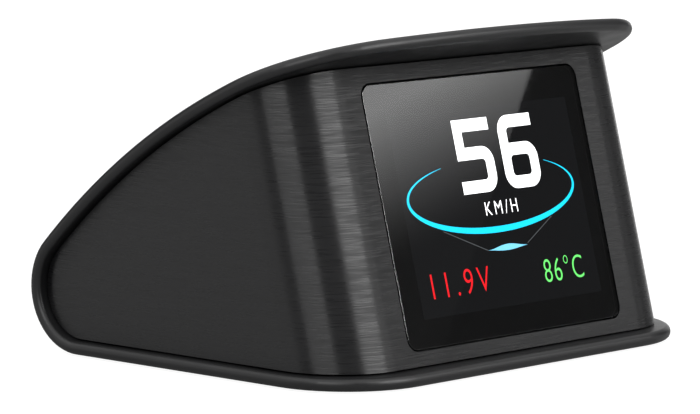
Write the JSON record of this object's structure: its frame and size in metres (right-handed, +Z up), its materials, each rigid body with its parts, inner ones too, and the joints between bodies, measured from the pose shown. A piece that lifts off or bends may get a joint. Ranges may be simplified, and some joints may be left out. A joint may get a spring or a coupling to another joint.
{
  "type": "dashboard speed display",
  "caption": "Small dashboard gauge: leaning smoked display window under a visor, brushed housing inside a wrapped shell with a round nose, thumb dial and power inlet in one side.",
  "frame": {"origin": "centre of the footprint, midway between lip and nose, on the surface the object stands on", "axes": "+Z up, the window faces -Y, +X to the right of someone reading the display"},
  "size_m": [0.09, 0.0754, 0.0566],
  "materials": {
    "satin_shell": "satin moulded, faint grain",
    "brushed_housing": "fine brushed lines, semi-gloss",
    "smoked_window": "polished smoked window",
    "display_glass": "display panel glass",
    "white_tray": "moulded",
    "inner_plastic": "moulded",
    "foam": "closed-cell foam",
    "flex_film": "amber film",
    "board": "solder resist",
    "component_black": "moulded epoxy",
    "component_metal": "satin can",
    "pale_plastic": "moulded",
    "screw_steel": "zinc plated",
    "socket_metal": "nickel plated",
    "pad_rubber": "soft silicone"
  },
  "bodies": {
    "display_unit": {"wrap_shell": "satin_shell", "front_housing": "brushed_housing", "display_lens": "smoked_window", "lcd_panel": "display_glass", "lcd_backlight": "white_tray", "display_bracket": "inner_plastic", "usb_tongue": "inner_plastic", "dial_case": "inner_plastic", "lens_gasket": "foam", "lcd_flex_cable": "flex_film", "main_board": "board", "processor_chip": "component_black", "bus_transceiver": "component_black", "voltage_regulator": "component_black", "power_inductor": "component_black", "buzzer": "component_black", "clock_crystal": "component_metal", "capacitor_1": "component_metal", "capacitor_2": "component_metal", "flex_connector": "pale_plastic", "base_screw_1": "screw_steel", "base_screw_2": "screw_steel", "base_screw_3": "screw_steel", "base_screw_4": "screw_steel", "board_screw_1": "screw_steel", "board_screw_2": "screw_steel", "board_screw_3": "screw_steel", "board_screw_4": "screw_steel", "bracket_screw_1": "screw_steel", "bracket_screw_2": "screw_steel", "bracket_screw_3": "screw_steel", "bracket_screw_4": "screw_steel", "usb_shell": "socket_metal", "grip_pad": "pad_rubber"},
    "dial_carriage": {"dial_carriage": "pale_plastic"},
    "dial_wheel": {"dial_wheel": "satin_shell"}
  },
  "joints": [
    {"name": "dial_press", "type": "slide", "parent": "display_unit", "child": "dial_carriage", "axis": [-1, 0, 0], "range_m": [0, 0.0006], "stiffness_N_per_m": 1500},
    {"name": "dial_turn", "type": "hinge", "parent": "dial_carriage", "child": "dial_wheel", "pos_m": [0.0383, -0.00502, 0.0161], "axis": [0, 0, 1], "range_deg": [-12, 12], "stiffness_Nm_per_rad": 0.015}
  ]
}
